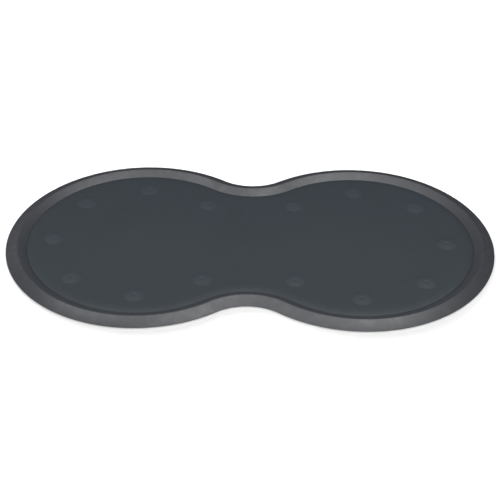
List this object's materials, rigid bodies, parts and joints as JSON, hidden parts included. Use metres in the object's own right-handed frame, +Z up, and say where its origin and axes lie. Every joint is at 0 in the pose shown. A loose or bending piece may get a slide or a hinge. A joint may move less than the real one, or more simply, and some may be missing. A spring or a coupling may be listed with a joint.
{
  "type": "anti fatigue mat",
  "caption": "Figure-eight standing mat with a bevelled border around a recessed, softly cushioned surface that carries rings of low round buttons.",
  "frame": {"origin": "on the floor under the middle of the mat", "axes": "+X along the mat's length from one lobe to the other, +Y across it, +Z up"},
  "size_m": [0.9128, 0.5094, 0.0117],
  "materials": {
    "border": "satin, fine moulded grain",
    "cover": "matt, fine pebbled texture",
    "button": "soft matt, smooth",
    "foam": "open-cell foam, matt",
    "base": "matt, non-slip pattern"
  },
  "bodies": {
    "root": {"border_rim": "border", "top_cover": "cover", "cushion_core": "foam", "base_sheet": "base", "left_button_1": "button", "left_button_2": "button", "left_button_3": "button", "left_button_4": "button", "left_button_5": "button", "left_button_6": "button", "left_button_7": "button", "right_button_1": "button", "right_button_2": "button", "right_button_3": "button", "right_button_4": "button", "right_button_5": "button", "right_button_6": "button", "right_button_7": "button"}
  },
  "joints": []
}
